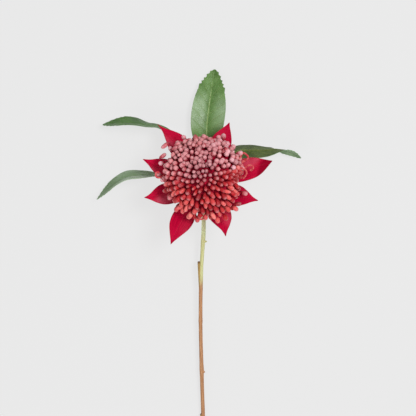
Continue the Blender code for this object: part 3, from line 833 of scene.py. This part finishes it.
def pinkness(tip):
    """0 for the coral florets on the lower side, 1 for the pink ones on the upper side."""
    seen = seen_from_above(tip)
    level = PINK_LEVEL + PINK_RISE * max(seen.x, 0)
    return clamp(0.5 + (seen.y - level) / PINK_WIDTH)


def paleness_and_highlight(tip, draw):
    """Whitish tint on a floret: a little everywhere at random as its own bloom, and more on the right of the
    upper side as a painted highlight.
    """
    outward = tip.normalized()
    far = clamp(outward.x + 0.5 * outward.y - 0.4)
    return clamp((draw.uniform(-0.1, 0.25) + draw.random() * 1.1 * far) * pinkness(tip))


def greyness(tip):
    """1 for the mauve florets at the crown, 0 away from it."""
    seen = seen_from_above(tip)
    return clamp(1.25 - math.hypot(seen.x, seen.y - CROWN_LEVEL) / CROWN_SPREAD)


def brightness_towards_rim(tip):
    """Brightest shade of a coral floret: low near the crown, 1 towards the rim."""
    return between((0.4, 1), clamp((tip.angle(UP) / RIM_ANGLE - 0.35) * 2))


def model_bud():
    """Model one floret standing upright: a thin stalk, a four-lobed swelling and a rounded end."""
    rings = [(height * MM, radius * MM) for height, radius in BUD_RINGS]
    bud = stack_rings("bud", rings, BUD_SIDES)
    edit_all(bud)
    bpy.ops.mesh.extrude_region_move(TRANSFORM_OT_translate={"value": (0, 0, BUD_HEIGHT - rings[-1][0])})
    pick(lambda vertex: vertex.co.z > BUD_HEIGHT - 0.01 * MM)
    bpy.ops.mesh.merge(type="CENTER")
    bpy.ops.mesh.select_all(action="SELECT")
    bpy.ops.mesh.normals_make_consistent(inside=False)
    leave_edit()
    mesh = bud.data
    along = mesh.attributes.new("along", "FLOAT", "POINT")
    lobe = mesh.attributes.new("lobe", "FLOAT", "POINT")
    for vertex in mesh.vertices:
        raised = 0.5 + 0.5 * math.cos(4 * math.atan2(vertex.co.y, vertex.co.x))
        share = BUD_LOBE_SHARE + (1 - BUD_LOBE_SHARE) * raised
        along.data[vertex.index].value = vertex.co.z / BUD_HEIGHT
        lobe.data[vertex.index].value = raised
        vertex.co.x *= share
        vertex.co.y *= share
    return bud


def side_share(tip):
    """0 on the side where buds curve outwards, 1 on the side where they curve inwards."""
    outward = tip.normalized()
    across = math.hypot(outward.x, outward.y) * math.cos(math.atan2(outward.y, outward.x) - INCURVE_SIDE)
    return clamp(0.5 + INCURVE_SPREAD * across)


def between(pair, share):
    """Value between the two of a pair."""
    return pair[0] + (pair[1] - pair[0]) * share


def fill_tips(tips):
    """Tips of smaller buds in the gaps between the others, a little deeper."""
    filled = []
    for index in range(FILL_STEPS):
        angle = math.acos(1 - (1 - math.cos(RIM_ANGLE)) * (index + 0.5) / FILL_STEPS)
        tip = direction(angle, index * GOLDEN_ANGLE) * tip_reach(angle)
        least = between(FILL_SPACING, side_share(tip)) * spacing_at(angle)
        if all((tip - other).length > least for other in tips + filled):
            filled.append(tip)
    return [tip.normalized() * (tip.length - between(FILL_DEPTH, side_share(tip))) for tip in filled]


def floret_way(tip, draw):
    """Way that a floret of the dome points: its side sets the curve, and a draw turns it further."""
    most = between(TURN_MOST, side_share(tip)) * between((0.5, 1), clamp(tip.angle(UP) / TURN_FULL))
    axis = direction(draw.uniform(0, math.pi), draw.uniform(0, 2 * math.pi))
    return Matrix.Rotation(most * draw.uniform(-1, 1), 3, axis) @ bud_way(tip, incurve_share(tip))


def floret_guide(number, tip, way, radius):
    """Guide of one floret, from its foot in the core to its tip, with its radius."""
    outward = tip.normalized()
    root = outward * (core_reach(outward.angle(UP)) - ROOT_DEPTH)
    neck = tip - way * BUD_NECK
    middle = (root + neck) / 2 + (outward - way) * 1.5 * MM
    scale = radius / BUD_FULL_RADIUS
    places = (root, middle, neck, tip - way * 4 * MM, tip)
    points = [(place + UP * CORE_CENTRE, 0, scale) for place in places]
    return guide_curve(f"floret_guide_{number}", points, "MINIMUM", False)


def floret_list(draw):
    """Tip, way, radius, paleness with painted highlight, and length of every floret: those of the dome, then
    the strays.
    """
    tips = floret_tips()
    main_count = len(tips)
    tips += fill_tips(tips)
    ease_apart(tips, FILL_ROUNDS, lambda tip: CLOSEST)
    strays = [(Vector(tip) * MM, Vector(way).normalized(), radius * MM, pale_and_highlight, length)
              for tip, way, radius, pale_and_highlight, length in STRAYS]
    florets = []
    for number, tip in enumerate(tips):
        radius = CROWN_BUD_RADIUS + (RIM_BUD_RADIUS - CROWN_BUD_RADIUS) * tip.angle(UP) / RIM_ANGLE
        radius *= between((CORAL_BUD_SHARE, PINK_BUD_SHARE), side_share(tip)) * draw.uniform(*RADIUS_SHARES)
        if number >= main_count:
            radius *= between(FILL_RADIUS_SHARE, side_share(tip))
        way = floret_way(tip, draw)
        tip = drawn_in(tip)
        if all((tip - stray[0]).length > STRAY_ROOM for stray in strays):
            length = draw.uniform(*LENGTH_SHARES) * between((CORAL_LENGTH_SHARE, 1), pinkness(tip))
            florets.append((tip, way, radius, paleness_and_highlight(tip, draw), length))
    return florets + strays


def head_matrix():
    """Place and tilt of the flower head."""
    return Matrix.Translation(HEAD_BASE) @ Matrix.Rotation(-HEAD_TILT, 4, "X")


def settle(made, matrix):
    """Put a piece in its place, with the place in its mesh."""
    made.matrix_world = matrix
    choose(made)
    bpy.ops.object.transform_apply(location=True, rotation=True, scale=True)


def make_florets(finish):
    """Make every floret as a bent copy of one bud, and join them."""
    draw = random.Random(SEED + 1)
    bud = model_bud()
    florets = []
    guides = []
    for number, (tip, way, radius, pale_and_highlight, length) in enumerate(floret_list(draw)):
        guide = floret_guide(number, tip, way, radius)
        floret = bring_in(f"floret_{number}", bud.data.copy())
        top = Matrix.Translation(UP * guide.data.splines[0].calc_length())
        floret.data.transform(top @ Matrix.Scale(length, 4, UP) @ Matrix.Translation(-UP * BUD_HEIGHT))
        bend = floret.modifiers.new("bend", "CURVE")
        bend.object = guide
        bend.deform_axis = "POS_Z"
        values = {
            "tone": clamp(pinkness(tip) + draw.uniform(-0.35, 0.25)),
            "grey": greyness(tip) * 0.9,
            "shade": draw.random() * between((brightness_towards_rim(tip), 1), pinkness(tip)),
            # Pale frosted tip, partly a painted highlight.
            "frost_and_highlight": clamp(draw.uniform(0.15, 0.5) + 0.2 * pinkness(tip) - 0.15 * greyness(tip)),
            # Pale tint of the bud end, partly a painted highlight.
            "pale_and_highlight": pale_and_highlight,
        }
        for name, value in values.items():
            mark(floret, name, value)
        florets.append(floret)
        guides.append(guide)
    choose(*florets)
    bpy.ops.object.convert(target="MESH")
    made = join("florets", *florets)
    remove(bud, *guides)
    smooth_shade(made, 70)
    settle(made, head_matrix())
    cover(made, finish)
    return made


def make_styles(finish):
    """Make the curled styles of opened florets, each with a thicker tip, and join them."""
    styles = []
    for number, route in enumerate(STYLES):
        count = len(route) - 1
        points = []
        for index, place in enumerate(route):
            radius = STYLE_TIP_RADIUS if index == count else STYLE_RADIUS
            points.append(((Vector(place) + UP * CORE_CENTRE / MM) * MM, radius))
        styles.append(make_rod(f"style_{number}", points, 2, 8))
    made = join("styles", *styles)
    smooth_shade(made, 60)
    settle(made, head_matrix())
    cover(made, finish)
    return made


def make_core(finish):
    """Make the core with the bed of crowded stalks that the buds stand out of, and its neck."""
    angles = [CORE_EDGE * index / CORE_RINGS for index in range(CORE_RINGS, 0, -1)]
    rings = [(0.0, 6 * MM), (2.4 * MM, NECK_RADIUS), (8 * MM, NECK_RADIUS), (10 * MM, 11 * MM)]
    rings += [(CORE_CENTRE + bed_reach(a) * math.cos(a), bed_reach(a) * math.sin(a)) for a in angles]
    core = stack_rings("core", rings, BED_SIDES)
    apply_modifier(core, "SUBSURF", levels=2, render_levels=2)
    for vertex in core.data.vertices:
        place = vertex.co - UP * CORE_CENTRE
        turn = math.atan2(place.y, place.x)
        ways = Vector((math.cos(turn), math.sin(turn), 0)) * BED_RIBS / math.tau
        grain = noise.noise(ways * 2 + UP * place.z / (16 * MM)) + 0.5 * noise.noise(place / (2 * MM))
        vertex.co += vertex.normal * grain * BED_RELIEF * clamp(vertex.co.z / (12 * MM) - 1)
    smooth_shade(core, 60)
    settle(core, head_matrix())
    cover(core, finish)
    return core


# Bracts and leaves

def flat_blade(name, rows, columns, half_width_at, rise_at):
    """Model a flat blade from a grid: each row is moved to its place and scaled to its width.

    rows are fractions of the length. The mesh carries UV values of place and side.
    """
    count = len(rows)
    bpy.ops.mesh.primitive_grid_add(x_subdivisions=count - 1, y_subdivisions=columns, size=2)
    made = bpy.context.object
    made.name = name
    edit_all(made)
    for index, place in enumerate(rows):
        start = -1 + 2 * index / (count - 1)
        width = half_width_at(place)
        pick(lambda vertex: vertex.index % count == index)
        bpy.ops.transform.resize(value=(1, width, 1), center_override=(0, 0, 0))
        bpy.ops.transform.translate(value=(place * 100 * MM - start, 0, 0))
    leave_edit()
    mesh = made.data
    sides = {}
    for vertex in mesh.vertices:
        place = rows[vertex.index % count]
        side = -1 + 2 * (vertex.index // count) / columns
        sides[vertex.index] = (place, 0.5 + side / 2)
        vertex.co.z = rise_at(place, side)
    layer = mesh.uv_layers.active.data
    for loop in mesh.loops:
        layer[loop.index].uv = sides[loop.vertex_index]
    return made


def make_bract(number, shape, finish):
    """Make one bract that spreads from under the florets, with a pointed tip."""
    outline, azimuth, reach, tip_height, sweep, twist, fold = shape
    tier = TIER_RISE if number % 2 else -TIER_RISE

    def half_width_at(place):
        return BRACT_HALF_WIDTH * max(smooth_value(outline, place), 0.004)

    def rise_at(place, side):
        across = abs(side) * half_width_at(place)
        soft = math.hypot(across, 1.2 * MM) - 1.2 * MM
        wave = 0.5 * MM * math.sin(9 * place + 2 * number + (1.5 if side > 0 else 0)) * side**2
        ribs = 0.07 * MM * math.cos(22 * side) * (1 - place)
        return fold * soft * min(1.0, place * BRACT_FOLD_START) + wave * clamp(place * 3) + ribs

    route = []
    for far, rise, turn in BRACT_ARCH:
        place = Vector((BRACT_START + far * (reach * MM - BRACT_START), sweep * MM * far**2,
                        BRACT_LEVEL + tier + rise * MM))
        route.append((place, math.radians(twist * turn), 1))
    route.append((Vector((reach, sweep, tip_height)) * MM, math.radians(twist), 1))
    rows = [index / BRACT_ROWS for index in range(BRACT_ROWS + 1)]
    made = flat_blade(f"bract_{number + 1}_petal", rows, BRACT_COLUMNS, half_width_at, rise_at)
    bend_along(made, route)
    apply_modifier(made, "SOLIDIFY", thickness=BRACT_THICKNESS, offset=0)
    smooth_shade(made, 50)
    settle(made, head_matrix() @ Matrix.Rotation(math.radians(azimuth), 4, "Z"))
    cover(made, finish)
    # Strength of this bract's painted sheen and painted shadow band.
    mark(made, "painted_light", BRACT_PAINTED_LIGHT[number])
    return made


def leaf_rows():
    """Fractions of a leaf's length where its rows lie, close together where it is toothed."""
    plain = [TOOTH_START * index / LEAF_PLAIN_ROWS for index in range(LEAF_PLAIN_ROWS)]
    tip = [TOOTH_START + (1 - TOOTH_START) * index / LEAF_TIP_ROWS for index in range(LEAF_TIP_ROWS + 1)]
    return plain + tip


def tooth_height(place):
    """Share of a tooth that the edge stands out: a slow rise to its point, a quick fall and a dip."""
    start = TOOTH_START
    for tooth in LEAF_TEETH:
        if place <= tooth:
            return clamp((place - start) / (tooth - start)) - TOOTH_DIP * (place > TOOTH_START)
        if place <= tooth + TOOTH_FALL:
            return 1 - (place - tooth) / TOOTH_FALL - TOOTH_DIP
        start = tooth + TOOTH_FALL
    return -TOOTH_DIP


def vein_wave(place, side):
    """1 on a side vein and 0 halfway between two, as in the finish of the leaf."""
    turn = (place - VEIN_SLANT * abs(side)**VEIN_CURVE) * SIDE_VEINS
    return abs(math.cos(math.pi * turn))**6


def make_leaf(name, outline, fold, tooth, route, finishes):
    """Make one leaf: a rounded petiole, a grooved midrib, a quilted blade and a toothed edge."""
    rows = leaf_rows()

    def half_width_at(place):
        return LEAF_HALF_WIDTH * max(smooth_value(outline, place), 0.004)

    def rise_at(place, side):
        width = half_width_at(place)
        across = abs(side) * width
        spread = clamp((width - 3 * MM) / (8 * MM))
        groove = -0.5 * MM * math.exp(-(across / (1.0 * MM))**2) * spread
        quilt = -VEIN_DEPTH * vein_wave(place, side) * (1 - abs(side)**3) * spread
        wave = 0.7 * MM * math.sin(16 * place + (2 if side > 0 else 0)) * side**4 * spread
        return fold * across + groove + quilt + wave

    made = flat_blade(name + "_blade", rows, LEAF_COLUMNS, half_width_at, rise_at)
    count = len(rows)
    rib = made.vertex_groups.new(name="rib")
    for vertex in made.data.vertices:
        place = rows[vertex.index % count]
        side = -1 + 2 * (vertex.index // count) / LEAF_COLUMNS
        across = abs(side) * half_width_at(place)
        if abs(side) > 0.99:
            vertex.co.y += math.copysign(tooth_height(place) * tooth * MM, side)
        stalk = clamp(1.25 - place * 7)
        ridge = 0.42 * math.exp(-(across / (1.1 * MM))**2) * (1 - place * 0.8)
        rib.add([vertex.index], clamp(max(stalk * (1 - side**4 * 0.6), ridge)), "REPLACE")
    bend_along(made, [(Vector((x, y, z)) * MM, math.radians(tilt), 1) for x, y, z, tilt in route])
    cover(made, *finishes)
    apply_modifier(made, "SOLIDIFY", thickness=PETIOLE_THICKNESS, offset=0, vertex_group="rib",
                   thickness_vertex_group=EDGE_SHARE, material_offset=1)
    smooth_shade(made, 50)
    return made


# Stem

def stem_points():
    """Middle and radius of the stem from the cut end, along its straight run and round the bend."""
    points = [(Vector((x, y, z)) * MM, radius * MM) for x, y, z, radius in STEM_ROUTE]
    top_way = Vector((0, math.sin(HEAD_TILT), math.cos(HEAD_TILT)))
    top_turn = math.pi / 2 - HEAD_TILT
    end = HEAD_BASE - top_way * 0.3 * MM
    top = end - top_way * STEM_TOP_LENGTH
    centre = top + Vector((0, -top_way.z, top_way.y)) * STEM_BEND_RADIUS
    last = points[-1][0]
    for index in range(STEM_BEND_STEPS + 1):
        share = index / STEM_BEND_STEPS
        turn = STEM_BEND_START + (top_turn - STEM_BEND_START) * share
        place = centre + Vector((0, math.sin(turn), -math.cos(turn))) * STEM_BEND_RADIUS
        place.x = last.x + (top.x - last.x) * share
        points.append((place, STEM_RADIUS + (STEM_NECK_RADIUS - STEM_RADIUS) * share**2))
    points.append((end, STEM_TOP_RADIUS))
    return points


def make_rod(name, points, sides_step, steps):
    """Make a rod through (place, radius) points as one closed mesh."""
    rod = guide_curve(name, [(place, 0, radius / MM) for place, radius in points], "MINIMUM", False)
    rod.data.bevel_depth = MM
    rod.data.bevel_resolution = sides_step
    rod.data.resolution_u = steps
    rod.data.use_fill_caps = True
    choose(rod)
    bpy.ops.object.convert(target="MESH")
    made = bpy.context.object
    edit_all(made)
    bpy.ops.mesh.remove_doubles(threshold=0.01 * MM)
    bpy.ops.mesh.normals_make_consistent(inside=False)
    leave_edit()
    return made


def make_stub(number, shape):
    """Make the stub of a side shoot, with a rounded end."""
    root, tip, root_radius, tip_radius, dark = shape
    start, end = Vector(root) * MM, Vector(tip) * MM
    way = (end - start).normalized()
    points = [(start, root_radius * MM), (start.lerp(end, 0.5), (root_radius + tip_radius) / 2 * MM),
              (end - way * 0.8 * MM, tip_radius * MM), (end - way * 0.15 * MM, tip_radius * 0.7 * MM),
              (end, tip_radius * 0.2 * MM)]
    stub = make_rod(f"stub_{number}", points, 4, 4)
    layer = stub.data.attributes.new("shoot", "FLOAT", "POINT")
    for vertex in stub.data.vertices:
        far = (vertex.co - start).dot(way) / (end - start).length
        layer.data[vertex.index].value = dark * clamp(0.5 + far / 2)
    return stub


def make_stem(finish):
    """Make the stem with its nodes, its cut end and the stubs of its side shoots."""
    stem = make_rod("stem_bark", stem_points(), 6, 6)
    edit_all(stem)
    bpy.ops.mesh.select_mode(type="FACE")
    body = bmesh.from_edit_mesh(stem.data)
    for face in body.faces:
        face.select_set(len(face.verts) > 4 and face.normal.y < -0.5)
    bmesh.update_edit_mesh(stem.data)
    bpy.ops.mesh.inset(thickness=0.45 * MM, depth=0)
    bpy.ops.mesh.inset(thickness=1.2 * MM, depth=-0.25 * MM)
    leave_edit()
    for vertex in stem.data.vertices:
        grain = noise.noise(Vector((vertex.co.x * 500, vertex.co.y * 120, vertex.co.z * 500)))
        vertex.co += vertex.normal * grain * 0.12 * MM
    stubs = [make_stub(number, shape) for number, shape in enumerate(STUBS)]
    stem = join("stem_bark", stem, *stubs)
    smooth_shade(stem, 40)
    cover(stem, finish)
    return stem


# Studio

def make_studio():
    """Set up the pale floor, the soft light and the camera."""
    bpy.ops.mesh.primitive_plane_add(size=8, location=(0, 0, -0.1 * MM))
    floor = bpy.context.object
    floor.name = "floor"
    material, tree, shader = new_finish("floor_paper", 0.9)
    shader.inputs["Base Color"].default_value = (FLOOR_TONE, FLOOR_TONE, FLOOR_TONE, 1)
    shader.inputs["Specular IOR Level"].default_value = 0
    shader.inputs["Emission Color"].default_value = (1, 1, 1, 1)
    shader.inputs["Emission Strength"].default_value = FLOOR_GLOW
    cover(floor, material)

    world = bpy.data.worlds.new("studio")
    world.use_nodes = True
    sky = world.node_tree.nodes["Background"]
    sky.inputs["Color"].default_value = (1, 1, 1, 1)
    sky.inputs["Strength"].default_value = SKY_STRENGTH
    bpy.context.scene.world = world
    bpy.context.scene.view_settings.view_transform = "Standard"

    for name, place, size, power in LAMPS:
        light = bpy.data.lights.new(name, "AREA")
        light.size = size
        light.energy = power
        lamp = bring_in(name, light)
        lamp.location = place
        lamp.rotation_euler = (LAMP_AIM - Vector(place)).to_track_quat("-Z", "Y").to_euler()

    camera = bpy.data.cameras.new("camera")
    camera.sensor_width = 36
    camera.lens = camera.sensor_width * VIEW_DISTANCE / VIEW_WIDTH
    camera.clip_start = 0.1
    viewer = bring_in("camera", camera)
    viewer.location = (*VIEW_CENTRE, VIEW_LEVEL + VIEW_DISTANCE)
    bpy.context.scene.camera = viewer


def dress(made, node):
    """Let a piece stand for a solid and take its place in the row."""
    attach(made, "root")
    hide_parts(node)


def main():
    """Build every piece in place of its solid."""
    for old in list(bpy.data.objects):
        bpy.data.objects.remove(old)
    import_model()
    petals = bud_finish()
    dress(make_florets(petals), "flower_head")
    dress(make_styles(style_finish()), "flower_head")
    dress(make_core(core_finish()), "flower_head")
    crimson = bract_finish()
    for number, shape in enumerate(BRACTS):
        dress(make_bract(number, shape, crimson), f"bract_{number + 1}")
    under = leaf_finish("leaf_under", LEAF_UNDER_TONES, 0.5, 1)
    for name, (outline, fold, tooth, route) in LEAVES.items():
        upper = leaf_finish(name + "_face", LEAF_TONES[name], 0.34, -1)
        dress(make_leaf(name, outline, fold, tooth, route, (upper, under)), name)
    dress(make_stem(stem_finish()), "stem")
    make_studio()


main()
